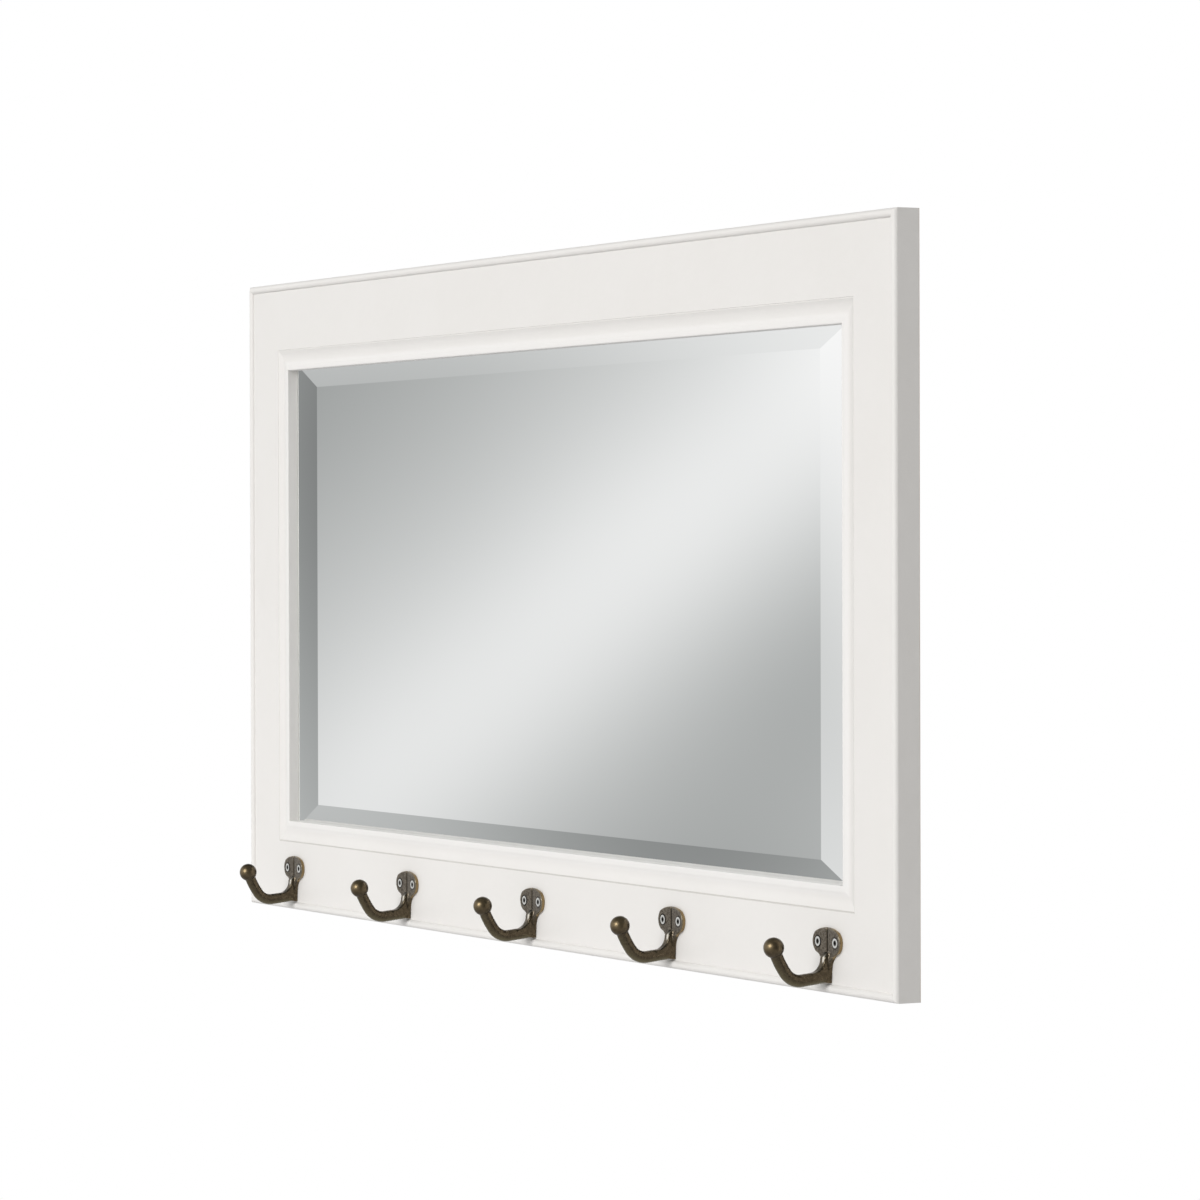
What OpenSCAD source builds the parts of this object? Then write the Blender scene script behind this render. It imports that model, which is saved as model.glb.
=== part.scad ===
// Wall mirror in a painted wooden frame, with a row of ball-ended coat hooks on its bottom rail.
// The wall is the plane y = 0, the front faces -Y and +Z is up. The origin is the middle of the
// frame's outline on the wall. Heights called "_h" are measured forwards from the frame's back.

/* [Frame] */
// Width over the outside of the frame
frame_w = 1016; // [900:1:1300]
// Height over the outside of the frame
frame_h = 508; // [440:1:800]
// Thickness of the frame boards at the raised rim
frame_t = 19; // [18:0.5:25]
// Width of all four frame members, from outer edge to sight edge
member_w = 71; // [66:0.5:90]
// Clear gap between the frame's back and the wall
wall_gap = 5; // [5:0.5:10]

/* [Moulding] */
// Radius of the front outer arris
arris_r = 3; // [1:0.1:4]
// How far the rim stands proud of the flat field, also the radius of its inner shoulder
rim_proud = 2.4; // [1.5:0.1:3]
// Radius of the two fine quirk grooves
quirk_r = 0.5; // [0.3:0.05:0.7]
// Width of the inner moulding, from its quirk to the sight edge
moulding_w = 16.5; // [14:0.5:20]
// Width of the hollow half of the moulding
cove_w = 7; // [5:0.5:8]
// Depth of the hollow below the flat field
cove_depth = 2.2; // [1.5:0.1:2.6]
// How far the crest at the sight edge lies below the flat field
crest_drop = 0.8; // [0.2:0.1:1.2]
// Radius of the sight edge
sight_r = 1; // [0.5:0.1:1.5]

/* [Joinery] */
// Thickness of the loose key in each mitred corner
key_t = 4; // [3:0.5:6]
// Length of the key along the mitre
key_l = 40; // [24:1:44]
// Width of the key across the mitre
key_w = 24; // [16:1:28]
// Height of the key's middle above the frame's back
key_h = 10.5; // [9:0.5:11]
// Distance of the key's middle from both outer edges
key_inset = 33; // [30:0.5:36]
// Glue gap all round a key
key_gap = 0.15; // [0.05:0.05:0.3]

/* [Glass] */
// Thickness of the mirror glass
glass_t = 5; // [4:0.5:6]
// Thickness left at the ground edge
glass_edge_t = 3.5; // [2:0.1:3.8]
// Width of the bevel seen at the left and right
bevel_side = 40; // [15:0.5:50]
// Width of the bevel seen at the top and bottom
bevel_end = 14.5; // [10:0.5:30]
// Width of the rebate that holds the glass
rebate_w = 9; // [7:0.5:11]
// Gap filled by the setting pads between the glass and the rebate
glass_gap = 1; // [0.8:0.1:2]
// Length of a setting pad
pad_l = 40; // [20:1:60]
// Distance of the top and bottom pads from the middle
pad_x = 250; // [150:1:320]
// Distance of the side pads from the middle
pad_z = 100; // [60:1:130]
// Slack between the bevel and the rebate's shoulder
shoulder_gap = 0.07; // [0.05:0.01:0.3]

/* [Backing] */
// Thickness of the backing board, which lies flush with the frame's back
board_t = 3; // [3:0.5:5]
// Slack round the backing board
board_gap = 0.5; // [0.3:0.1:1.5]
// Length of a retaining clip
clip_l = 24; // [20:1:30]
// Width of a retaining clip
clip_w = 10; // [8:0.5:14]
// Thickness of a retaining clip
clip_t = 1.2; // [0.8:0.1:1.6]
// Distance of a clip's screw from its outer end
clip_end = 6; // [5:0.5:8]
// How far a clip reaches over the backing board
clip_reach = 11; // [6:0.5:14]
// Spacing of the clips along the top and bottom
clip_pitch_x = 300; // [200:1:340]
// Spacing of the clips along the sides
clip_pitch_z = 200; // [120:1:240]
// Clip screw shank diameter
clip_screw_d = 2.9; // [2.5:0.1:3.5]
// Clip screw length under the head
clip_screw_l = 10; // [8:0.5:14]
// Clip screw head diameter
clip_head_d = 5.6; // [5:0.1:7]
// Clip screw head height
clip_head_t = 1.6; // [1.2:0.1:2.2]

/* [Hooks] */
// Distance of the first and last hook from the frame's sides
hook_inset = 86; // [76:0.5:160]
// Height of the hooks' origin above the frame's lower edge
hook_rise = 24.2; // [22:0.1:32]
// Thickness of the hook's back plate
plate_t = 2.8; // [2.4:0.1:4]
// Half the width of the back plate
plate_half_w = 17.4; // [15:0.1:20]
// Height of the plate's top above the hook's origin
plate_top = 18.9; // [17:0.1:21]
// Radius of the plate's two ears
ear_r = 8; // [6:0.1:9]
// Height of the ears' centres above the hook's origin
ear_z = 9.2; // [7:0.1:11]
// Radius of the hollow flanks that run into the stem
flank_r = 12; // [9:0.5:15]
// Half the width of the stem below the flanks
stem_half_w = 4; // [3.4:0.1:5]
// Half the width of the stem at its foot
foot_half_w = 3.1; // [2.5:0.1:4]
// Depth of the foot below the hook's origin
foot_depth = 17.5; // [16:0.1:20]
// How far the plate's face falls from its edges to the middle groove
dish_depth = 1; // [0.4:0.1:1.3]
// Width of the middle groove
groove_w = 1.2; // [0.8:0.1:2]
// Plate left under the middle groove
groove_floor = 1; // [0.6:0.1:1.3]
// Radius of the arm
arm_r = 4.15; // [3.2:0.05:4.5]
// Height of the arm's root below the hook's origin
arm_root = 12.9; // [11.5:0.1:13.5]
// Distance of the lowest point of the arm from the frame
bend_out = 22.6; // [20:0.1:30]
// Depth of the arm's lowest point on its centre line, below the hook's origin
bend_depth = 15.3; // [14:0.1:17]
// Radius of the arm's bend on its centre line
bend_r = 13.4; // [12:0.1:18]
// Angle turned by the bend
bend_turn = 54; // [40:1:60]
// Radius of the long sweep up to the ball
sweep_r = 62; // [40:0.1:80]
// Angle turned by the sweep
sweep_turn = 17.6; // [12:0.1:22]
// Radius of the ball
ball_r = 6.85; // [5:0.05:8]
// Thickness of the web between plate and arm
web_w = 7; // [5:0.1:7.4]
// Radius of the hollow between web and arm
web_r = 9.5; // [7:0.5:11]
// Distance of the web's nose from the frame
web_out = 5.6; // [5:0.1:6.4]
// Height of the web's top above the hook's origin
web_top = 2.4; // [2.2:0.1:5]

/* [Hook screws] */
// Distance between the two screws of a hook
hook_screw_pitch = 22; // [18:0.1:23]
// Hook screw shank diameter
hook_screw_d = 3.5; // [3:0.1:4]
// Hook screw length over the head
hook_screw_l = 16; // [12:0.5:18]
// Hook screw head diameter
hook_head_d = 6.4; // [6:0.1:7]
// Height of the conical part of the head
hook_head_t = 1.7; // [1.4:0.1:2]
// How far the heads stand out from the dished face
hook_head_proud = 0.15; // [0.05:0.05:0.4]

/* [Hangers] */
// Height of the ring's bar above the frame's middle
hanger_z = 150; // [100:1:170]
// Distance of each hanger from the frame's side
hanger_inset = 31; // [24:0.5:40]
// Wire radius of the hanging ring
wire_r = 1.25; // [1:0.05:1.4]
// Half the width of the ring on its wire's centre line
ring_half_w = 10; // [9:0.5:12]
// Radius of the ring's two tight corners
ring_corner_r = 2.4; // [2:0.1:2.8]
// Running clearance between the ring's bar and the strap's eye
eye_gap = 0.05; // [0.03:0.01:0.08]
// Width of the strap
strap_w = 12; // [10:0.5:13]
// Thickness of the strap's strip, which lies double
strip_t = 1; // [0.8:0.05:1.1]
// Distance from the bar to the first screw
strap_screw_a = 20; // [18.5:0.5:24]
// Distance from the first to the second screw
strap_screw_pitch = 16; // [12:0.5:20]
// Gap between the hanging ring and the strap
ring_rest_gap = 0.3; // [0.2:0.05:0.5]
// Hanger screw shank diameter
hanger_screw_d = 3.5; // [3:0.1:4]
// Hanger screw length under the head
hanger_screw_l = 13; // [10:0.5:15]
// Hanger screw head diameter
hanger_head_d = 7; // [6:0.1:8]
// Hanger screw head height
hanger_head_t = 2; // [1.5:0.1:2.4]

/* [Wall bumpers] */
// Diameter of a bumper at the frame
bumper_d = 13; // [10:0.5:18]
// Diameter of a bumper at the wall
bumper_tip_d = 11; // [8:0.5:14]
// Distance of a corner bumper's centre from both outer edges
bumper_inset = 28; // [22:0.5:40]

/* [Screw fit] */
// Gap between a screw's shank and the wood of its pilot hole
pilot_gap = 0.05; // [0.03:0.01:0.1]
// Free depth left under a screw's point
pilot_spare = 0.5; // [0.2:0.1:1]
// Radial gap between a screw's shank and a metal hole
metal_gap = 0.2; // [0.1:0.05:0.4]
// Width of the arms of a screw's cross recess
recess_w = 0.8; // [0.5:0.05:1.1]
// Length over the arms of a screw's cross recess
recess_l = 3; // [2.4:0.1:3.4]
// Depth of a screw's cross recess
recess_depth = 1.1; // [0.6:0.1:1.3]

/* [Hidden] */
$fn = 64;

hook_count = 5;
overcut = 1;                 // how far a cutting shape runs past what it cuts
joint_spare = 0.1;           // what each length of arm leaves free at a joint
joint_swell = 0.05;          // how far a joint stands out from the arm
outline_dip = 0.03;          // how far the hook plate's arcs run into its ears and stem
root_spare = 0.7;            // how far the arm's root stays off the frame
web_sink = 0.4;              // how far the web's hollow dips into the arm
pan_taper = 0.8;             // a pan head's top diameter over its full diameter
point_d = 0.2;               // diameter left at a screw's point
half_w = frame_w / 2;
half_h = frame_h / 2;

// Frame section
field_h = frame_t - rim_proud;
rim_w = arris_r + rim_proud;
quirk_s = member_w - moulding_w;
valley_s = quirk_s + cove_w;
crest_s = member_w - sight_r;
valley_h = field_h - cove_depth;
crest_h = field_h - crest_drop;
crest_run = crest_s - valley_s;
crest_rise = crest_h - valley_h;
cove_r = (cove_w * cove_w + cove_depth * cove_depth) / (2 * cove_depth);
crest_r = (crest_run * crest_run + crest_rise * crest_rise) / (2 * crest_rise);

// Glass and rebate
rebate_s = member_w - rebate_w;
glass_inset = rebate_s + glass_gap;
glass_half_w = half_w - glass_inset;
glass_half_h = half_h - glass_inset;
glass_cover = rebate_w - glass_gap;
bevel_fall = glass_t - glass_edge_t;
glass_back_h = board_t;
// the steeper bevel is the higher one where it passes under the sight edge
bevel_steep = min(bevel_side, bevel_end) + glass_cover;
shoulder_h = glass_back_h + glass_edge_t + bevel_fall * glass_cover / bevel_steep + shoulder_gap;

// Hooks
hook_pitch = (frame_w - 2 * hook_inset) / (hook_count - 1);
hook_z = hook_rise - half_h;
ear_x = plate_half_w - ear_r;
flank_x = stem_half_w + flank_r;
// the crown and the flanks are drawn tangent to this slightly smaller ear, so that they cross the real one
ear_core_r = ear_r - outline_dip;
flank_z = ear_z - sqrt(pow(ear_core_r + flank_r, 2) - pow(flank_x - ear_x, 2));
crown_gap = plate_top - ear_z - ear_core_r;
crown_r = (ear_x * ear_x + crown_gap * crown_gap) / (2 * crown_gap) + ear_core_r;
crown_z = plate_top - crown_r;
bend_z = bend_r - bend_depth;
sweep_y = bend_out + bend_r * sin(bend_turn) - sweep_r * sin(bend_turn);
sweep_z = bend_z - bend_r * cos(bend_turn) + sweep_r * cos(bend_turn);
ball_out = sweep_y + sweep_r * sin(bend_turn + sweep_turn);
ball_z = sweep_z - sweep_r * cos(bend_turn + sweep_turn);
// the straight root of the arm runs tangent into the bend
root_far = sqrt(pow(bend_out, 2) + pow(bend_z + arm_root, 2));
arm_slope = asin(bend_r / root_far) - atan2(bend_z + arm_root, bend_out);
arm_length = sqrt(pow(root_far, 2) - pow(bend_r, 2));
web_hollow_out = web_out + web_r;
web_hollow_z = web_r + arm_r - web_sink - arm_root - web_hollow_out * tan(arm_slope);
screw_x = hook_screw_pitch / 2;
// the dish falls evenly from the plate's edge to the groove
dish_here = dish_depth * (1 - screw_x / plate_half_w);
head_out = plate_t - dish_here + hook_head_proud;

// Hangers
eye_r = wire_r + eye_gap;
barrel_r = eye_r + strip_t;
ring_bar = ring_half_w - ring_corner_r;
// distance from the bar to where the ring's round end crosses the strap's edges
ring_cross = ring_corner_r + sqrt(pow(ring_half_w, 2) - pow(strap_w / 2, 2));
// the ring hangs against the strap, tipped back by this angle
ring_lean = asin((2 * strip_t + ring_rest_gap + wire_r - barrel_r) / ring_cross);
strap_end = strap_screw_a + strap_screw_pitch;

paint = "#f0eee9";
brass = "#5b5143";
steel = "#b9bbbd";
silver = "#c3c9cb";
board_brown = "#9b7b57";
rubber_clear = "#cfd3d0";
cork = "#b08e62";

// Places its children on the frame's back, at (x, z), with +Z pointing out of the back
module on_back(x, z) {
    translate([x, -wall_gap, z]) rotate([-90, 0, 0]) children();
}

// ---- Frame members ----

// The rim: a rounded arris outside and a rounded shoulder inside
module rim_section() {
    square([rim_w, field_h]);
    translate([arris_r, frame_t - arris_r]) circle(arris_r);
    translate([arris_r, field_h]) circle(rim_proud);
    square([arris_r, frame_t - arris_r]);
}

// What the moulding takes off the square board: quirk, hollow, crest and rounded sight edge
module moulding_cut() {
    translate([quirk_s, field_h]) circle(quirk_r);
    translate([valley_s, valley_h + cove_r]) circle(cove_r);
    difference() {
        translate([valley_s, valley_h]) square([member_w, frame_t]);
        translate([crest_s, crest_h - crest_r]) circle(crest_r);
    }
    difference() {
        translate([crest_s, crest_h - sight_r]) square([sight_r + overcut, frame_t]);
        translate([crest_s, crest_h - sight_r]) circle(sight_r);
    }
}

// Section of a member: x runs inwards from the outer edge, y forwards from the back
module member_section() {
    difference() {
        union() {
            square([member_w, field_h]);
            rim_section();
        }
        translate([rim_w, field_h]) circle(quirk_r);
        moulding_cut();
        translate([rebate_s, -overcut]) square([member_w, shoulder_h + overcut]);
    }
}

// A mitred member along X, its outer edge on z = 0 and its back on y = 0
module member(length) {
    wide = length / 2 + overcut;
    narrow = length / 2 - member_w - overcut;
    intersection() {
        rotate([180, 90, 0]) linear_extrude(length, center = true) member_section();
        translate([0, overcut, 0]) rotate([90, 0, 0]) linear_extrude(frame_t + 2 * overcut)
            polygon([[-wide, overcut], [wide, overcut],
                [narrow, -member_w - overcut], [-narrow, -member_w - overcut]]);
    }
}

// All four corner keys, or with a gap the slots that take them
module corner_key_blocks(gap) {
    for (sx = [-1, 1], sz = [-1, 1])
        translate([sx * (half_w - key_inset), -wall_gap - key_h, sz * (half_h - key_inset)])
            rotate([0, -sx * sz * 45, 0])
                cube([key_l + 2 * gap, key_t + 2 * gap, key_w + 2 * gap], center = true);
}

// Pilot hole for a screw that goes length into the wood, from its mouth downwards
module pilot(shank_d, length) {
    translate([0, 0, -length - pilot_spare])
        cylinder(h = length + pilot_spare + overcut, d = shank_d + 2 * pilot_gap);
}

// Places of the clips along the top and bottom, and along the sides
clip_xs = [-clip_pitch_x, 0, clip_pitch_x];
clip_zs = [-clip_pitch_z / 2, clip_pitch_z / 2];
clip_screw_inset = rebate_s - (clip_l - clip_reach - clip_end);

// Puts its children at every clip's screw, on the frame's back, with the clip pointing to -Y
module at_clips() {
    for (x = clip_xs) {
        on_back(x, half_h - clip_screw_inset) rotate(180) children();
        on_back(x, clip_screw_inset - half_h) children();
    }
    for (z = clip_zs) {
        on_back(half_w - clip_screw_inset, z) rotate(-90) children();
        on_back(clip_screw_inset - half_w, z) rotate(90) children();
    }
}

module at_hangers() {
    for (side = [-1, 1]) on_back(side * (half_w - hanger_inset), hanger_z) children();
}

// Puts its children at a strap's two screws, in the strap's frame
module at_strap_screws() {
    for (d = [strap_screw_a, strap_end]) translate([0, d, 0]) children();
}

module at_hooks() {
    for (n = [1 : hook_count]) at_hook(n) children();
}

// Puts its children at hook n's origin: the flat field behind the middle of its plate
module at_hook(n) {
    translate([hook_inset - half_w + (n - 1) * hook_pitch, -wall_gap - field_h, hook_z]) children();
}

// Puts its children at both screw heads of a hook, with +Z pointing out of the wall
module at_hook_screws() {
    for (side = [-1, 1])
        translate([side * screw_x, -head_out, ear_z]) rotate([90, 0, 0]) children();
}

// Everything that is bored or cut into the wood of the whole frame
module frame_cuts() {
    corner_key_blocks(key_gap);
    at_clips() pilot(clip_screw_d, clip_screw_l - clip_t);
    at_hangers() at_strap_screws() pilot(hanger_screw_d, hanger_screw_l - 2 * strip_t);
    at_hooks() at_hook_screws() pilot(hook_screw_d, hook_screw_l);
}

module frame_member(length, turn, x, z) {
    color(paint) difference() {
        translate([x, -wall_gap, z]) rotate([0, turn, 0]) member(length);
        frame_cuts();
    }
}

module left_stile() { frame_member(frame_h, -90, -half_w, 0); }
module right_stile() { frame_member(frame_h, 90, half_w, 0); }
module top_rail() { frame_member(frame_w, 0, 0, half_h); }
module bottom_rail() { frame_member(frame_w, 180, 0, -half_h); }

module corner_keys() { color(board_brown) corner_key_blocks(0); }

// ---- Glass and backing ----

// Section of the glass across one direction: flat behind, bevelled at both edges in front
module glass_section(half_size, bevel) {
    ridge = half_size - glass_cover - bevel;
    polygon([[-half_size, 0], [half_size, 0], [half_size, glass_edge_t],
        [ridge, glass_t], [-ridge, glass_t], [-half_size, glass_edge_t]]);
}

module mirror_glass() {
    color(silver) translate([0, -wall_gap - glass_back_h, 0]) intersection() {
        rotate([180, 0, 0]) linear_extrude(2 * glass_half_h, center = true)
            glass_section(glass_half_w, bevel_side);
        rotate([180, 90, 0]) linear_extrude(2 * glass_half_w, center = true)
            glass_section(glass_half_h, bevel_end);
    }
}

// A pad filling the gap at a glass edge; its long side lies along X
module setting_pad() {
    translate([-pad_l / 2, -glass_edge_t, 0]) cube([pad_l, glass_edge_t, glass_gap]);
}

module setting_pads() {
    color(cork) translate([0, -wall_gap - glass_back_h, 0]) {
        for (x = [-pad_x, pad_x], turn = [0, 180])
            rotate([0, turn, 0]) translate([x, 0, glass_half_h]) setting_pad();
        for (z = [-pad_z, pad_z], turn = [-90, 90])
            rotate([0, turn, 0]) translate([z, 0, glass_half_w]) setting_pad();
    }
}

module backing_board() {
    size_x = 2 * (half_w - rebate_s - board_gap);
    size_z = 2 * (half_h - rebate_s - board_gap);
    color(board_brown) translate([-size_x / 2, -wall_gap - board_t, -size_z / 2])
        cube([size_x, board_t, size_z]);
}

// A flat plate that reaches from its screw over the board, with its outer end rounded
module backing_clip() {
    difference() {
        union() {
            translate([-clip_w / 2, clip_end - clip_l, 0])
                cube([clip_w, clip_l - clip_end, clip_t]);
            intersection() {
                cylinder(h = clip_t, r = clip_end);
                translate([-clip_w / 2, -clip_end, 0]) cube([clip_w, 2 * clip_end, clip_t]);
            }
        }
        translate([0, 0, -overcut])
            cylinder(h = clip_t + 2 * overcut, d = clip_screw_d + 2 * metal_gap);
    }
}

module backing_clips() { color(steel) at_clips() backing_clip(); }

// ---- Screws ----

// A cross recess, cut downwards from the top of a head
module cross_recess() {
    for (turn = [0, 90]) rotate(turn)
        translate([-recess_l / 2, -recess_w / 2, -recess_depth])
            cube([recess_l, recess_w, recess_depth + overcut]);
}

// Shank and point of a wood screw, going down from its mouth
module shank(shank_d, length) {
    point = shank_d;
    translate([0, 0, point - length]) cylinder(h = length - point, d = shank_d);
    translate([0, 0, -length]) cylinder(h = point, d1 = point_d, d2 = shank_d);
}

module pan_screw(shank_d, length, head_d, head_t) {
    shank(shank_d, length);
    difference() {
        cylinder(h = head_t, d1 = head_d, d2 = head_d * pan_taper);
        translate([0, 0, head_t]) cross_recess();
    }
}

// Countersunk screw with the top of its head on z = 0
module countersunk_screw() {
    difference() {
        union() {
            shank(hook_screw_d, hook_screw_l);
            translate([0, 0, -hook_head_t])
                cylinder(h = hook_head_t, d1 = hook_screw_d, d2 = hook_head_d);
        }
        cross_recess();
    }
}

module clip_screws() {
    color(steel) at_clips() translate([0, 0, clip_t])
        pan_screw(clip_screw_d, clip_screw_l, clip_head_d, clip_head_t);
}

module hook_screws() { color(silver) at_hooks() at_hook_screws() countersunk_screw(); }

module hanger_screws() {
    color(steel) at_hangers() at_strap_screws() translate([0, 0, 2 * strip_t])
        pan_screw(hanger_screw_d, hanger_screw_l, hanger_head_d, hanger_head_t);
}

// ---- Hooks ----

// Outline of the back plate: a low crown between two ears, hollow flanks and a narrow stem
module plate_outline() {
    crown_x = crown_r * ear_x / (crown_r - ear_core_r);
    crown_touch_z = crown_z + crown_r * (ear_z - crown_z) / (crown_r - ear_core_r);
    touch = ear_core_r / (ear_core_r + flank_r);
    stem_x = stem_half_w + outline_dip;
    flank_touch_x = ear_x + (flank_x - ear_x) * touch;
    flank_touch_z = ear_z + (flank_z - ear_z) * touch;
    for (side = [-1, 1]) translate([side * ear_x, ear_z]) circle(ear_r);
    intersection() {
        translate([0, crown_z]) circle(crown_r);
        polygon([[0, crown_z], [-crown_x, crown_touch_z], [-crown_x, plate_top + overcut],
            [crown_x, plate_top + overcut], [crown_x, crown_touch_z]]);
    }
    difference() {
        polygon([[-ear_x, ear_z], [-flank_touch_x, flank_touch_z], [-stem_x, flank_z],
            [-foot_half_w, -foot_depth], [foot_half_w, -foot_depth], [stem_x, flank_z],
            [flank_touch_x, flank_touch_z], [ear_x, ear_z]]);
        for (side = [-1, 1]) translate([side * flank_x, flank_z]) circle(flank_r);
    }
}

// The plate, with its face dished towards a middle groove and countersunk for two screws
module hook_plate() {
    difference() {
        rotate([90, 0, 0]) linear_extrude(plate_t) plate_outline();
        linear_extrude(2 * plate_top)
            polygon([[-plate_half_w, -plate_t], [0, dish_depth - plate_t], [plate_half_w, -plate_t],
                [plate_half_w, -plate_t - overcut], [-plate_half_w, -plate_t - overcut]]);
        translate([-groove_w / 2, -plate_t - overcut, 0])
            cube([groove_w, plate_t - groove_floor + overcut, plate_top + overcut]);
        at_hook_screws() screw_seat();
    }
}

// Countersink and clearance hole for a hook screw
module screw_seat() {
    reach = plate_t + 2 * overcut;
    translate([0, 0, -reach]) cylinder(h = reach, d = hook_screw_d + 2 * metal_gap);
    translate([0, 0, -hook_head_t]) cylinder(h = hook_head_t + overcut,
        d1 = hook_screw_d + 2 * metal_gap,
        d2 = hook_head_d + 2 * metal_gap + (hook_head_d - hook_screw_d) * overcut / hook_head_t);
}

// Side view of the web: x runs out from the frame and y upwards
module web_section() {
    foot = arm_root + web_hollow_out * tan(arm_slope);
    difference() {
        polygon([[0, -foot_depth], [0, web_top], [plate_t, web_top],
            [web_out, web_top - web_out + plate_t], [web_out, web_hollow_z],
            [web_hollow_out, web_hollow_z], [web_hollow_out, -foot], [plate_t, -foot_depth]]);
        translate([web_hollow_out, web_hollow_z]) circle(web_r);
    }
}

// A length of round arm on an arc about (out, z), short of both ends by the joints' spare
module arm_arc(out, z, radius, from, turn) {
    spare = asin(joint_spare / radius);
    translate([0, -out, z]) rotate([0, 90, 0]) rotate(from + spare)
        rotate_extrude(angle = turn - 2 * spare) translate([radius, 0]) circle(arm_r);
}

// A hardly swollen joint between two lengths of arm, at an angle from the arc's lowest point
module arm_joint(out, z, radius, turn) {
    translate([0, -out - radius * sin(turn), z - radius * cos(turn)]) sphere(arm_r + joint_swell);
}

module hook(n) {
    root_start = arm_r * tan(arm_slope) + root_spare;
    color(brass) at_hook(n) {
        hook_plate();
        rotate([90, 0, -90]) translate([0, 0, -web_w / 2]) linear_extrude(web_w) web_section();
        translate([0, 0, -arm_root]) rotate([90 + arm_slope, 0, 0]) translate([0, 0, root_start])
            cylinder(h = arm_length - root_start - joint_spare, r = arm_r);
        arm_joint(bend_out, bend_z, bend_r, -arm_slope);
        arm_arc(bend_out, bend_z, bend_r, -bend_turn, bend_turn + arm_slope);
        arm_joint(bend_out, bend_z, bend_r, bend_turn);
        arm_arc(sweep_y, sweep_z, sweep_r, -bend_turn - sweep_turn, sweep_turn);
        translate([0, -ball_out, ball_z]) sphere(ball_r);
    }
}

// ---- Hangers and bumpers ----

// A strap folded double round the bar; it points to +Y here, down the frame's back
module hanger_strap(side) {
    color(steel) on_back(side * (half_w - hanger_inset), hanger_z) difference() {
        union() {
            translate([0, 0, barrel_r]) rotate([0, 90, 0])
                cylinder(h = strap_w, r = barrel_r, center = true);
            translate([-strap_w / 2, 0, 0]) cube([strap_w, strap_end, 2 * strip_t]);
            translate([0, strap_end, 0]) cylinder(h = 2 * strip_t, d = strap_w);
        }
        translate([0, 0, barrel_r]) rotate([0, 90, 0])
            cylinder(h = strap_w + 2 * overcut, r = eye_r, center = true);
        at_strap_screws() translate([0, 0, -overcut])
            cylinder(h = 2 * strip_t + 2 * overcut, d = hanger_screw_d + 2 * metal_gap);
    }
}

// The ring: a straight bar, two tight corners and a half round, lying in the XY plane
module ring_wire() {
    rotate([0, 90, 0]) cylinder(h = 2 * ring_bar, r = wire_r, center = true);
    for (side = [0, 1]) mirror([side, 0, 0])
        translate([ring_bar, ring_corner_r, 0]) rotate(-90)
            rotate_extrude(angle = 90) translate([ring_corner_r, 0]) circle(wire_r);
    translate([0, ring_corner_r, 0])
        rotate_extrude(angle = 180) translate([ring_half_w, 0]) circle(wire_r);
}

module hanging_ring(side) {
    color(steel) on_back(side * (half_w - hanger_inset), hanger_z)
        translate([0, 0, barrel_r]) rotate([ring_lean, 0, 0]) ring_wire();
}

module wall_bumper() {
    cylinder(h = wall_gap, d1 = bumper_d, d2 = bumper_tip_d);
}

// One in each corner, and one that keeps the middle of the backing board off the wall
module wall_bumpers() {
    color(rubber_clear) {
        on_back(0, 0) wall_bumper();
        for (sx = [-1, 1], sz = [-1, 1])
            on_back(sx * (half_w - bumper_inset), sz * (half_h - bumper_inset)) wall_bumper();
    }
}

left_stile();
right_stile();
top_rail();
bottom_rail();
corner_keys();
mirror_glass();
setting_pads();
backing_board();
backing_clips();
clip_screws();
for (n = [1 : hook_count]) hook(n);
hook_screws();
hanger_strap(-1);  // left_hanger_strap
hanger_strap(1);  // right_hanger_strap
hanging_ring(-1);  // left_hanging_ring
hanging_ring(1);  // right_hanging_ring
hanger_screws();
wall_bumpers();
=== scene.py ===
from math import cos, pi, radians, sin

import bpy
import numpy as np
from mathutils import Euler, Matrix, Vector


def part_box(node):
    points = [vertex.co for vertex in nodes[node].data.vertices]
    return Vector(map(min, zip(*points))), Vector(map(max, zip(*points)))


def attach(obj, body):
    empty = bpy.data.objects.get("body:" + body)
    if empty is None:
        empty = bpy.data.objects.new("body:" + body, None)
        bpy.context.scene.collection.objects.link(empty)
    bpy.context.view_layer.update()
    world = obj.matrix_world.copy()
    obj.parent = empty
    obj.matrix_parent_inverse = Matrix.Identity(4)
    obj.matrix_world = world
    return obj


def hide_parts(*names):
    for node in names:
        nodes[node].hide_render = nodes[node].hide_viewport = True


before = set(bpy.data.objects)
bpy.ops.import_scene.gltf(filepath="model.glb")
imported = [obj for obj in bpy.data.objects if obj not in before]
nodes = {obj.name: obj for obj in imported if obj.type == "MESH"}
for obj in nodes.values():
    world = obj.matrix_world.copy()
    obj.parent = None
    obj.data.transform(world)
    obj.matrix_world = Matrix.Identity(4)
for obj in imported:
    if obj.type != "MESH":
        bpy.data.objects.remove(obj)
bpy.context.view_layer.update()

# ---- The picture ----------------------------------------------------------------------------
# A long lens, far to the right of the mirror and about level with its middle, so that the frame
# narrows towards the left and its right side shows.
camera = bpy.data.objects.new("camera", bpy.data.cameras.new("camera"))
bpy.context.scene.collection.objects.link(camera)
camera.data.lens = 142.5
camera.data.clip_end = 100
camera_place = (3.0914, -1.6119, 0.0342)
nod, swing, lean = -0.568, 61.973, -0.143  # in degrees
camera_turn = Euler((radians(90 + nod), 0, radians(swing))).to_matrix().to_4x4()
camera_roll = Matrix.Rotation(radians(lean), 4, "Z")
camera.matrix_world = Matrix.Translation(camera_place) @ camera_turn @ camera_roll
bpy.context.scene.camera = camera
bpy.context.scene.view_settings.view_transform = "Standard"


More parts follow.
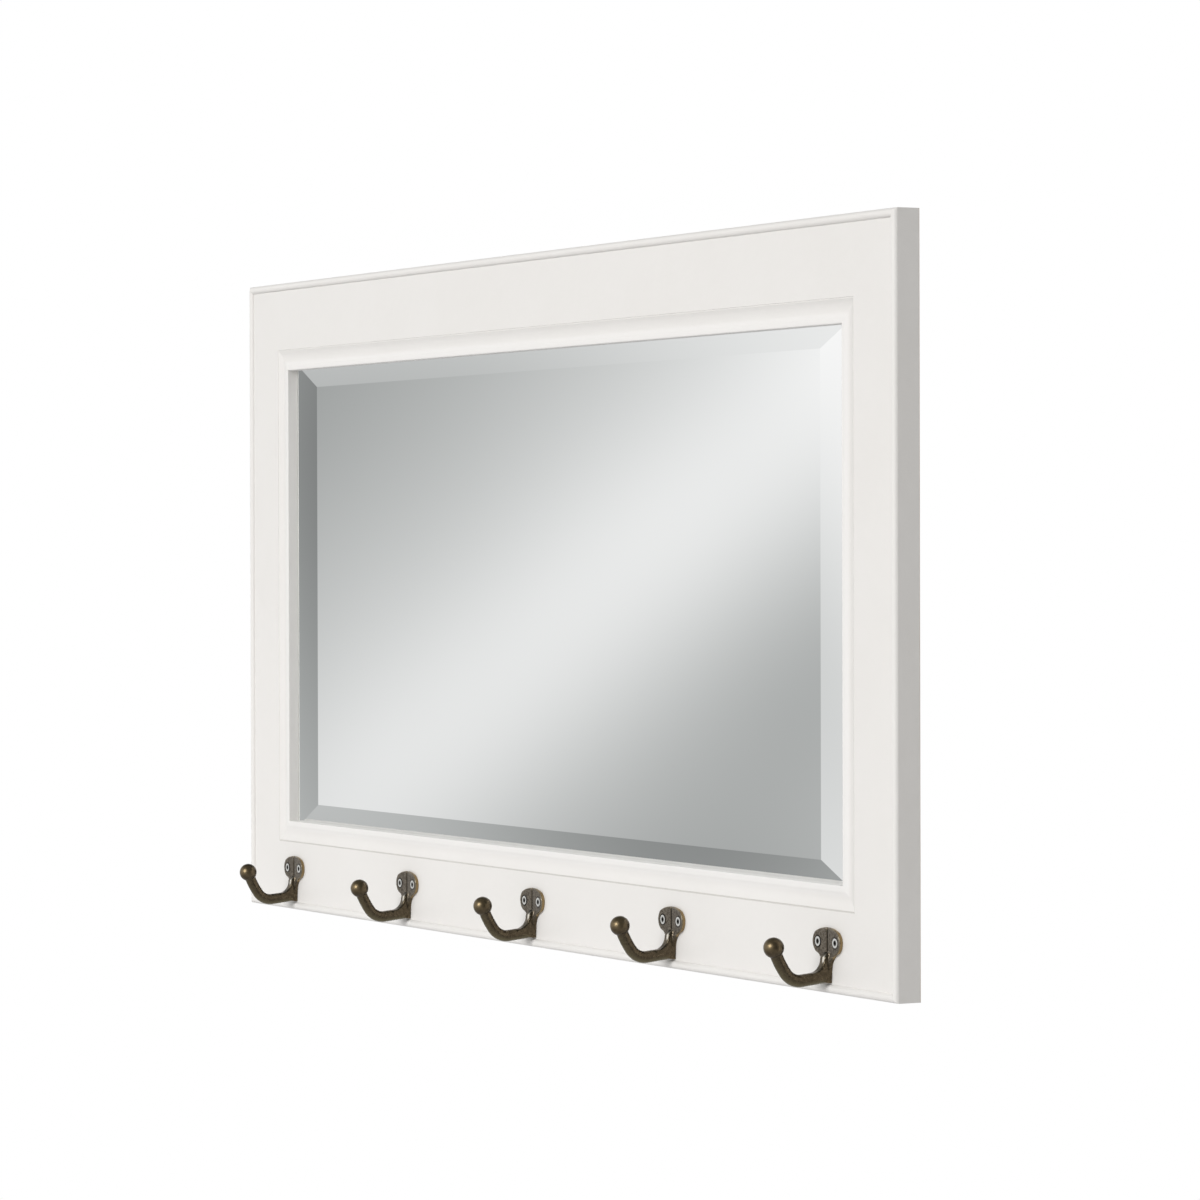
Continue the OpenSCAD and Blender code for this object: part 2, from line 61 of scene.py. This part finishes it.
class Tone:
    """A value or colour on its way into a finish. Maths on it adds the nodes that work it out."""

    def __init__(self, socket):
        self.socket = socket

    @staticmethod
    def feed(tree, slot, value):
        if isinstance(value, Tone):
            tree.links.new(value.socket, slot)
        else:
            slot.default_value = value

    @classmethod
    def make(cls, tree, kind, settings=None, sockets=None, output=0):
        """Adds a node of that kind, sets it, then its sockets, and gives one of its outputs."""
        node = tree.nodes.new("ShaderNode" + kind)
        for name, value in (settings or {}).items():
            setattr(node, name, value)
        for name, value in (sockets or {}).items():
            cls.feed(tree, next(s for s in node.inputs if name in (s.identifier, s.name)), value)
        return cls(node.outputs[output]) if node.outputs else None

    def output(self, name):
        """Another output of the same node."""
        return Tone(self.socket.node.outputs[name])

    def math(self, operation, *values):
        """Adds a Math node, which works on these values."""
        tree = self.socket.id_data
        node = tree.nodes.new("ShaderNodeMath")
        node.operation = operation
        for slot, value in zip(node.inputs, values):
            Tone.feed(tree, slot, value)
        return Tone(node.outputs[0])

    def __add__(self, other):
        return self.math("ADD", self, other)

    __radd__ = __add__

    def __sub__(self, other):
        return self.math("SUBTRACT", self, other)

    def __rsub__(self, other):
        return self.math("SUBTRACT", other, self)

    def __mul__(self, other):
        return self.math("MULTIPLY", self, other)

    __rmul__ = __mul__

    def __truediv__(self, other):
        return self.math("DIVIDE", self, other)

    def between(self, start, end):
        """0 up to start, 1 from end on, and a smooth rise between them."""
        return Tone.make(self.socket.id_data, "MapRange", {"interpolation_type": "SMOOTHSTEP"},
                         {"Value": self, "From Min": start, "From Max": end})


# The studio: a white surround with soft grey flags in it, which only reflections show. Each flag
# is: how dark, and in degrees its azimuth, elevation, reach, breadth and turn.
flags = (
    (0.58, 65.5, 2.9, 4, 5.4, 50),     # the grey in the glass's top left corner
    (0.72, 61.3, -6.7, 4.8, 5.3, 50),  # and in its bottom right corner
    (-0.20, 62.8, -1.3, 1.4, 14, 49),  # the light band between them
    (0.28, 58.9, -1.2, 2, 2.8, 64),    # a dip in that band
    (0.47, 68.3, -3.9, 14, 2.2, 84),   # the dark of the left bevel
    (0.17, 53.9, -3, 10, 1.8, 39),     # the shade low in the right bevel
    (0.20, 5, 5, 17, 11, 30),          # a faint one straight ahead
    (0.75, -172, 40, 32, 24, 0),       # one behind the mirror
    (0.92, -84, -8, 54, 75, 0),        # the dark of the room behind the camera
)
ambient = 0.46  # the even white light that the world sheds on the mirror
darkest = 0.08  # no part of the surround is darker than this
studio = bpy.data.worlds.new("studio")
bpy.context.scene.world = studio
studio.use_nodes = True
sky = studio.node_tree
sky.nodes.clear()
ray = Tone.make(sky, "SeparateXYZ", None, {"Vector": Tone.make(sky, "TexCoord")})
# azimuth runs from straight ahead of the mirror towards its left end
azimuth = ray.math("ARCTAN2", ray * -1, ray.output("Y") * -1) * (180 / pi)
elevation = ray.math("ARCSINE", ray.output("Z")) * (180 / pi)
surround = 1.0
for depth, at_azimuth, at_elevation, reach, breadth, turn in flags:
    across, along = azimuth - at_azimuth, elevation - at_elevation
    u = (across * cos(radians(turn)) + along * sin(radians(turn))) / reach
    v = (along * cos(radians(turn)) - across * sin(radians(turn))) / breadth
    surround = surround - depth * u.math("EXPONENT", (u * u + v * v) * -1)
# the surround falls off past the left end of the mirror, and towards the ceiling
fall = (1 - 0.55 * azimuth.between(70.5, 105)) * (1 - 0.75 * elevation.between(14, 50))
surround = surround.math("MAXIMUM", surround * fall, darkest)
# light that is scattered on its way is the even white, and the picture's ground is plain white
way = Tone.make(sky, "LightPath")
mirrored = way.math("MAXIMUM", way.output("Is Glossy Ray"), way.output("Is Transmission Ray"))
mirrored = mirrored * (1 - way.math("MINIMUM", way.output("Diffuse Depth"), 1))
shown = way.math("MAXIMUM", way.output("Is Camera Ray"), mirrored)
strength = ambient + shown * (1 - ambient + mirrored * (surround - 1))
# the flags are a cool grey
tint = Tone.make(sky, "Mix", {"data_type": "RGBA"}, {
    "Factor_Float": mirrored * (1 - surround), "A_Color": (1, 1, 1, 1),
    "B_Color": (0.950, 1, 0.990, 1)}, output=2)
glow = Tone.make(sky, "Background", None, {"Color": tint, "Strength": strength})
Tone.make(sky, "OutputWorld", None, {"Surface": glow})

# One broad lamp in front of the mirror, above it and a little to the right
key = bpy.data.objects.new("key", bpy.data.lights.new("key", "SUN"))
bpy.context.scene.collection.objects.link(key)
key.data.energy = 1.67
key.data.angle = radians(24)
key.rotation_euler = Vector((-0.21, 0.885, -0.38)).to_track_quat("-Z", "Y").to_euler()

# A white card below the mirror, out of the picture, sends a little light up to its foot
card = bpy.data.objects.new("card", bpy.data.lights.new("card", "AREA"))
bpy.context.scene.collection.objects.link(card)
card.data.shape = "RECTANGLE"
card.data.size, card.data.size_y = 1.2, 0.4
card.data.energy = 0.34
card.location = (-0.2, -0.40, -0.60)
card.rotation_euler = Vector((0, 0.45, 0.40)).to_track_quat("-Z", "Y").to_euler()
card.visible_camera = card.visible_glossy = False

# A pale floor, well below the mirror
bpy.ops.object.select_all(action="DESELECT")
bpy.ops.mesh.primitive_plane_add(size=14, location=(0, 0, -2.1))
floor = bpy.context.object
floor.name = "floor"
pale = bpy.data.materials.new("pale floor")
pale.use_nodes = True
ground = pale.node_tree
ground.nodes.clear()
matt = Tone.make(ground, "BsdfDiffuse", None, {"Color": (0.84, 0.84, 0.84, 1)})
# the picture shows the floor a little lighter than it is, so that it runs into the white behind
way = Tone.make(ground, "LightPath")
lift = Tone.make(ground, "Emission", None, {
    "Color": (1, 1, 1, 1), "Strength": 0.3 * way.output("Is Camera Ray")})
Tone.make(ground, "OutputMaterial", None, {"Surface": Tone.make(
    ground, "AddShader", None, {"Shader": matt, "Shader_001": lift})})
floor.data.materials.append(pale)

# ---- Frame members --------------------------------------------------------------------------
# Four lengths of one moulded softwood board, mitred, keyed and glued at the corners, and sprayed
# with a warm white satin lacquer. The backs get only a thin coat, through which the grain shows.
lacquer = (0.858, 0.836, 0.807, 1)


def new_finish(name):
    material = bpy.data.materials.new(name)
    material.use_nodes = True
    material.node_tree.nodes.clear()
    return material, material.node_tree, Tone.make(material.node_tree, "TexCoord", output="Object")


def noise(tree, place, scale, detail=2.0, roughness=0.5):
    return Tone.make(tree, "TexNoise", None, {"Vector": place, "Scale": scale, "Detail": detail,
                                             "Roughness": roughness})


def mix(tree, share, first, second):
    return Tone.make(tree, "Mix", {"data_type": "RGBA"}, {
        "Factor_Float": share, "A_Color": first, "B_Color": second}, output=2)


def bump(tree, height, depth, under=None):
    sockets = {"Height": height, "Distance": depth}
    if under:
        sockets["Normal"] = under
    return Tone.make(tree, "Bump", None, sockets)


def surface(tree, **sockets):
    sockets = {name.replace("_", " "): value for name, value in sockets.items()}
    Tone.make(tree, "OutputMaterial", None, {
        "Surface": Tone.make(tree, "BsdfPrincipled", None, sockets)})


def dress(names, finish):
    for name in names:
        for slot in nodes[name].material_slots:
            slot.material = finish


half_w, half_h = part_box("top_rail")[1][0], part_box("top_rail")[1][2]
field_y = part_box("hook_1")[1][1]  # the flat face on which the hooks are screwed
rim_groove, moulding_groove = 0.0054, 0.0545  # from the outer edge to each groove
moulding_w = 0.0165
for direction, stretch, names, edge, axis in (
        ("rail", (0.06, 1, 1), ("top_rail", "bottom_rail"), half_h, "Z"),
        ("stile", (1, 1, 0.06), ("left_stile", "right_stile"), half_w, "X")):
    paint, tree, place = new_finish("white satin paint, " + direction)
    stretched = Tone.make(tree, "Mapping", {"vector_type": "POINT"}, {
        "Vector": place, "Scale": stretch})
    grain = noise(tree, stretched, 420, 4, 0.6)
    wood = mix(tree, grain.between(0.35, 0.7), (0.62, 0.47, 0.31, 1), (0.45, 0.31, 0.18, 1))
    cloud = noise(tree, place, 14, 3)
    at = Tone.make(tree, "SeparateXYZ", None, {"Vector": place})
    depth = at.output("Y")
    deep = (depth - field_y).between(0.00005, 0.0003)
    if direction == "rail":
        # painted shade: both grooves of the bottom rail are darkened
        above_foot = edge + at.output(axis)
        off_groove = at.math("MINIMUM", at.math("ABSOLUTE", above_foot - rim_groove),
                             at.math("ABSOLUTE", above_foot - moulding_groove))
        painted_groove_shade = (1 - off_groove.between(0.0003, 0.0008)) * deep * 0.55
    else:
        # and so is the hollow of the right stile's moulding, with painted shade
        beside = edge - at.output(axis)
        hollow = 1 - beside.between(moulding_groove + 0.006, moulding_groove + 0.009)
        painted_groove_shade = deep * hollow * 0.11
    # a painted highlight makes the coat whiter over the crest, and painted shade makes it greyer
    # on the wall inside it
    inwards = edge - at.math("ABSOLUTE", at.output(axis))
    crest_highlight = inwards.between(moulding_groove + 0.008, moulding_groove + 0.011)
    inner_edge = moulding_groove + moulding_w
    wall_shade = inwards.between(inner_edge - 0.0003, inner_edge)
    back = (depth + cloud * 0.0004).between(-0.0053, -0.0050)
    thin = back * (0.30 + 0.5 * grain)
    coat = mix(tree, cloud.between(0.3, 0.75), lacquer, (0.846, 0.823, 0.792, 1))
    coat = mix(tree, crest_highlight, coat, (0.886, 0.867, 0.842, 1))
    coat = mix(tree, wall_shade, coat, (0.780, 0.766, 0.738, 1))
    # painted shade in the grooves and in the right stile's hollow
    coat = mix(tree, painted_groove_shade, coat, (0.50, 0.48, 0.44, 1))
    peel = noise(tree, place, 850, 2)
    swell = noise(tree, place, 95, 1)
    surface(tree, Base_Color=mix(tree, thin, coat, wood),
            Roughness=0.36 + 0.10 * swell + 0.3 * back,
            Normal=bump(tree, peel, 0.00005, bump(tree, swell, 0.00022)))
    dress(names, paint)

# in the photo the glass does not show the walls of the left stile and the top rail beside it
for name in ("left_stile", "top_rail"):
    nodes[name].visible_glossy = False

# ---- Corner keys ----------------------------------------------------------------------------
# A loose key of beech is glued into a slot across each mitre. Beech is pale pink brown, with
# short dark flecks along its grain.
beech, tree, place = new_finish("plain beech")
flecks = noise(tree, Tone.make(tree, "Mapping", None, {"Vector": place, "Scale": (1, 1, 0.15)}),
               900, 2)
surface(tree, Base_Color=mix(tree, flecks.between(0.55, 0.7), (0.62, 0.44, 0.29, 1),
                             (0.42, 0.26, 0.15, 1)), Roughness=0.55 + 0.2 * flecks)
dress(["corner_keys"], beech)

# ---- Mirror glass ---------------------------------------------------------------------------
# Float glass, silvered behind, with wide polished bevels at its sides and narrow ones above and
# below. The silver is a hair uneven, and the glass is faintly green.
mirror, tree, place = new_finish("silvered glass")
clouds = noise(tree, place, 7, 2)
wipes = noise(tree, Tone.make(tree, "Mapping", None, {"Vector": place, "Scale": (1, 1, 5)}), 4, 2)
silver = mix(tree, clouds, (0.917, 0.921, 0.918, 1), (0.926, 0.929, 0.927, 1))
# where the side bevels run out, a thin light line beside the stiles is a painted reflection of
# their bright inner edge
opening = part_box("right_stile")[0][0]
line_w, line_softness = 0.0010, 0.0004
at = Tone.make(tree, "SeparateXYZ", None, {"Vector": place})
line_from = opening - line_w
lip_reflection = at.math("ABSOLUTE", at).between(line_from - line_softness, line_from)
surface(tree, Base_Color=mix(tree, lip_reflection, silver, (0.84, 0.84, 0.80, 1)),
        Metallic=1 - 0.9 * lip_reflection,
        Roughness=0.012 + 0.012 * wipes.between(0.5, 0.8) + 0.35 * lip_reflection)
dress(["mirror_glass"], mirror)

# ---- Setting pads ---------------------------------------------------------------------------
# Eight strips of pressed cork stand between the edge of the glass and the rebate. They hold it
# in its place and keep it off the wood.
cork, tree, place = new_finish("pressed cork")
crumbs = Tone.make(tree, "TexVoronoi", None, {"Vector": place, "Scale": 700})
crumb = Tone.make(tree, "SeparateColor", None, {"Color": crumbs.output("Color")})
surface(tree, Base_Color=mix(tree, crumb, (0.42, 0.27, 0.15, 1), (0.66, 0.48, 0.30, 1)),
        Roughness=0.9, Normal=bump(tree, crumbs, 0.0002))
dress(["setting_pads"], cork)

# ---- Backing board --------------------------------------------------------------------------
# A 3 mm sheet of brown hardboard lies behind the glass, flush with the frame's back. Its rough
# side shows the weave of the wire on which it was pressed.
board, tree, place = new_finish("raw hardboard")
fibres = noise(tree, place, 260, 5, 0.7)
blotch = noise(tree, place, 11, 3)
warp = Tone.make(tree, "TexWave", {"wave_type": "BANDS", "bands_direction": "X"},
                 {"Vector": place, "Scale": 110, "Distortion": 0.4})
weft = Tone.make(tree, "TexWave", {"wave_type": "BANDS", "bands_direction": "Z"},
                 {"Vector": place, "Scale": 110, "Distortion": 0.4})
brown = mix(tree, blotch.between(0.3, 0.75), (0.25, 0.155, 0.085, 1), (0.32, 0.205, 0.12, 1))
surface(tree, Base_Color=mix(tree, fibres.between(0.52, 0.72), brown, (0.42, 0.29, 0.18, 1)),
        Roughness=0.75 + 0.2 * fibres,
        Normal=bump(tree, warp * weft, 0.00016, bump(tree, fibres, 0.00010)))
dress(["backing_board"], board)

# ---- Clips, straps and their screws ---------------------------------------------------------
# Ten pressed steel clips hold the board in, and two folded steel straps carry the rings. All are
# bright zinc plated: cool grey, finely spangled, and duller where fingers and rain have been.
zinc, tree, place = new_finish("bright zinc plate")
spangle = Tone.make(tree, "TexVoronoi", None, {"Vector": place, "Scale": 450})
facet = Tone.make(tree, "SeparateColor", None, {"Color": spangle.output("Color")})
dull = noise(tree, place, 130, 4).between(0.45, 0.75)
surface(tree, Base_Color=mix(tree, dull, (0.66, 0.67, 0.69, 1), (0.50, 0.51, 0.52, 1)),
        Metallic=1.0, Roughness=0.24 + 0.10 * facet + 0.25 * dull,
        Normal=bump(tree, noise(tree, place, 1500, 2), 0.00002))
dress(["backing_clips", "clip_screws", "left_hanger_strap", "right_hanger_strap",
       "hanger_screws"], zinc)

# ---- Hanging rings --------------------------------------------------------------------------
# Each ring is one length of zinc plated wire, bent to a D. Its straight side is the bar that
# swings in the strap's eye.
wire, tree, place = new_finish("plated wire")
drawn = noise(tree, place, 1100, 3)
surface(tree, Base_Color=mix(tree, drawn, (0.72, 0.73, 0.75, 1), (0.56, 0.57, 0.58, 1)),
        Metallic=1.0, Roughness=0.18 + 0.22 * drawn, Normal=bump(tree, drawn, 0.00002))
dress(["left_hanging_ring", "right_hanging_ring"], wire)

# ---- Wall bumpers ---------------------------------------------------------------------------
# Five clear soft pads with sticky backs hold the mirror off the wall, four in the corners of the
# frame and one on the middle of the backing board.
soft, tree, place = new_finish("clear soft bumper")
haze = noise(tree, place, 300, 2)
surface(tree, Base_Color=mix(tree, haze, (0.80, 0.81, 0.80, 1), (0.70, 0.71, 0.70, 1)),
        Roughness=0.25 + 0.15 * haze, Normal=bump(tree, haze, 0.00005))
dress(["wall_bumpers"], soft)

# ---- Hooks ----------------------------------------------------------------------------------
# Each hook is one casting: a dished plate with a groove down its middle, and a round arm that
# ends in a ball. The casting's skin joins all of them with soft hollows. It is brass coloured,
# darkened almost to black-brown, and rubbed back to gold on its rims and on the ball. The ball
# also carries a painted highlight, the neck a painted glint and the arm's underside painted
# light, and the groove and countersinks are darkened with painted shade.
casting = bpy.data.objects.new("hook_casting", nodes["hook_1"].data.copy())
bpy.context.scene.collection.objects.link(casting)
bpy.ops.object.select_all(action="DESELECT")
casting.select_set(True)
bpy.context.view_layer.objects.active = casting
casting.data.materials.clear()
bpy.ops.object.mode_set(mode="EDIT")
bpy.ops.mesh.select_all(action="SELECT")
bpy.ops.mesh.remove_doubles(threshold=0.00001)
bpy.ops.object.mode_set(mode="OBJECT")
skin = casting.modifiers.new("skin", "REMESH")
skin.mode = "VOXEL"
skin.voxel_size = 0.00034
bpy.ops.object.modifier_apply(modifier="skin")
softened = casting.modifiers.new("softened", "SMOOTH")
softened.factor = 0.5
softened.iterations = 6
bpy.ops.object.modifier_apply(modifier="softened")

# places on the casting: across from its middle, out from the wood, and up from its top
hook_low, hook_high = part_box("hook_1")
middle_x = (hook_low[0] + hook_high[0]) / 2
hook_top = hook_high[2]
mesh = casting.data


def places():
    points = np.empty(len(mesh.vertices) * 3)
    mesh.vertices.foreach_get("co", points)
    points = points.reshape(-1, 3)
    return points, points[:, 0] - middle_x, field_y - points[:, 1], points[:, 2] - hook_top


def ramp(values, start, end):
    """0 up to start, 1 from end on, and a smooth rise between them."""
    share = np.clip((values - start) / (end - start), 0, 1)
    return share * share * (3 - 2 * share)


def fade(values, start, end):
    return 1 - ramp(values, start, end)


# the neck, where the plate runs into the arm, is drawn out into one soft hollow
points, across, out, up = places()
neck = (ramp(out, 0.0012, 0.0026) * fade(out, 0.0140, 0.0210)
        * ramp(up, -0.0345, -0.0310) * fade(up, -0.0165, -0.0135)
        * fade(abs(across), 0.0050, 0.0085))
drawn_out = casting.vertex_groups.new(name="neck")
for index in np.flatnonzero(neck > 0.01):
    drawn_out.add([int(index)], float(neck[index]), "REPLACE")
flowing = casting.modifiers.new("flowing", "SMOOTH")
flowing.factor = 0.5
flowing.iterations = 70
flowing.vertex_group = "neck"
bpy.ops.object.modifier_apply(modifier="flowing")
bpy.ops.object.shade_smooth()

# the finish follows the casting's shape, so the shape is measured at each of its points
points, across, out, up = places()
normals = np.empty(len(mesh.vertices) * 3)
mesh.vertices.foreach_get("normal", normals)
normals = normals.reshape(-1, 3)
ends = np.empty(len(mesh.edges) * 2, dtype=int)
mesh.edges.foreach_get("vertices", ends)
ends = ends.reshape(-1, 2)
joined = np.bincount(ends.ravel(), minlength=len(points))[:, None]


def neighbours(values):
    """The mean, for each point, of the values at the points next to it."""
    total = np.zeros_like(values)
    np.add.at(total, ends[:, 0], values[ends[:, 1]])
    np.add.at(total, ends[:, 1], values[ends[:, 0]])
    return total / joined


def keep(name, values, passes):
    """Stores the values for the finish to read, spread out a little by each pass."""
    values = values.reshape(-1, 1).astype(float)
    for _ in range(passes):
        values = neighbours(values)
    mesh.attributes.new(name, "FLOAT", "POINT").data.foreach_set("value", values.ravel())


# hands and cloth rub what stands out from its neighbours, and these edges also carry a painted
# highlight
full_wear = 0.00002  # a point that stands out this far is fully worn
keep("worn_and_lit", ((points - neighbours(points)) * normals).sum(axis=1) / full_wear, 3)
# the dished face of the plate keeps the grain of the sand it was cast in
on_plate = (out < 0.0031) & (up > -0.0290)
keep("grained", (normals[:, 1] < -0.75) & on_plate & (out > 0.0014), 3)
# the edge of the plate's two ears is rubbed to gold
on_ears = (out < 0.0031) & (up > -0.0205) & (abs(across) > 0.0035)
keep("rim", (normals[:, 1] > -0.55) & on_ears, 4)
# painted shade: the groove and the ring round each countersunk head are near black
pitch = (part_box("hook_5")[1][0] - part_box("hook_1")[1][0]) / 4
screw_low, screw_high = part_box("hook_screws")
head_r = (screw_high[2] - screw_low[2]) / 2
screw_x = (screw_high[0] - screw_low[0] - 4 * pitch) / 2 - head_r
screw_z = (screw_low[2] + screw_high[2]) / 2
from_screw = np.hypot(abs(across) - screw_x, up + hook_top - screw_z)
countersunk = fade(from_screw, head_r + 0.0006, head_r + 0.0013)
grooved = (fade(abs(across), 0.0004, 0.0013) * ramp(up, -0.0250, -0.0200)
           * fade(up, -0.0022, -0.0012))
keep("painted_hollow_shade", np.maximum(countersunk, grooved) * (out < 0.0040), 0)
# a painted glint on the front of the neck, just under the groove
from_glint = np.hypot((across - 0.0014) / 0.0012, (up + 0.0205) / 0.0024)
keep("painted_glint", np.exp(-from_glint * from_glint) * (out < 0.0120), 2)
# the ball is handled most, and carries a painted highlight, on the upper half of its front
ball_r = 0.00685
ball_out = field_y - hook_low[1] - ball_r
ball_up = up[out > ball_out + 0.8 * ball_r].mean()
on_ball = np.hypot(np.hypot(across, out - ball_out), up - ball_up) < 1.04 * ball_r
keep("handled_and_lit", on_ball * ramp(up - ball_up, -0.7 * ball_r, 0.1 * ball_r)
     * ramp(out - ball_out, -0.5 * ball_r, 0.5 * ball_r), 6)
# painted light: the arm's underside is lighter, as if lit from below, and its top keeps the dark
# brass colour
on_arm = ~on_ball & (out > 0.0045) & (up < -0.0120)
keep("under", ramp(-normals[:, 2], 0.05, 0.85) * on_arm, 3)

brass, tree, place = new_finish("dark antique brass")


def kept(name):
    return Tone.make(tree, "Attribute", {"attribute_name": name}, output="Fac")


face, handled_and_lit = kept("grained"), kept("handled_and_lit")
mottle = noise(tree, place, 420, 3, 0.55)
streaks = noise(tree, place, 150, 2)
sand = noise(tree, place, 900, 3, 0.7)
rubbed_and_lit = (kept("worn_and_lit") * 0.8 + (streaks - 0.5) * 0.9).between(0.2, 1.1)
gilt = (kept("rim") * (0.55 + 0.5 * streaks)).between(0.15, 0.9)
brass_colour = mix(tree, mottle.between(0.3, 0.7), (0.077, 0.060, 0.039, 1), (0.122, 0.096, 0.062, 1))
brass_colour = mix(tree, handled_and_lit * 0.8, brass_colour, (0.178, 0.134, 0.076, 1))
brass_colour = mix(tree, rubbed_and_lit * 0.45, brass_colour, (0.25, 0.205, 0.135, 1))
brass_colour = mix(tree, kept("under") * 0.85, brass_colour, (0.200, 0.174, 0.108, 1))
brass_colour = mix(tree, kept("painted_glint").between(0.1, 0.7), brass_colour, (0.80, 0.75, 0.66, 1))
brass_colour = mix(tree, gilt * 0.8, brass_colour, (0.36, 0.26, 0.130, 1))
cast_face = mix(tree, sand.between(0.38, 0.62), (0.078, 0.063, 0.048, 1), (0.222, 0.193, 0.155, 1))
cast_face = mix(tree, rubbed_and_lit * 0.7, cast_face, (0.36, 0.32, 0.25, 1))
brass_colour = mix(tree, face * 0.95, brass_colour, cast_face)
gloss = 0.22 + 0.10 * mottle + 0.20 * face - 0.04 * rubbed_and_lit + 0.10 * handled_and_lit
surface(tree, Base_Color=mix(tree, kept("painted_hollow_shade") * 0.85, brass_colour, (0.010, 0.008, 0.006, 1)),
        Metallic=1.0, Roughness=gloss,
        Normal=bump(tree, sand * (0.15 + face), 0.00007, bump(tree, mottle, 0.00004)))
mesh.materials.append(brass)

for number in range(1, 6):
    cast = casting
    if number > 1:
        cast = bpy.data.objects.new("hook_casting_%d" % number, mesh.copy())
        bpy.context.scene.collection.objects.link(cast)
        cast.data.transform(Matrix.Translation(((number - 1) * pitch, 0, 0)))
    cast.name = "hook_casting_%d" % number
    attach(cast, "mirror")
    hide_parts("hook_%d" % number)

# ---- Hook screws ----------------------------------------------------------------------------
# Ten countersunk cross-recess screws, nickel plated, two a hook. Their rims are bright, and the
# cross in each head is darkened with painted shade.
nickel, tree, place = new_finish("bright nickel")
at = Tone.make(tree, "SeparateXYZ", None, {"Vector": place})
beside = at.math("MODULO", at - (middle_x - pitch / 2), pitch) - pitch / 2
beside = at.math("ABSOLUTE", beside) - screw_x
above = at.output("Z") - screw_z
from_axis = at.math("SQRT", beside * beside + above * above)
painted_recess_shade = 1 - from_axis.between(0.0014, 0.0023)  # in and round the cross recess
rub = noise(tree, place, 700, 3)
bright = mix(tree, rub, (0.88, 0.87, 0.84, 1), (0.76, 0.75, 0.72, 1))
surface(tree, Base_Color=mix(tree, painted_recess_shade * 0.95, bright, (0.020, 0.016, 0.012, 1)),
        Metallic=1.0, Roughness=0.20 + 0.15 * rub + 0.2 * painted_recess_shade, Normal=bump(tree, rub, 0.00002))
dress(["hook_screws"], nickel)
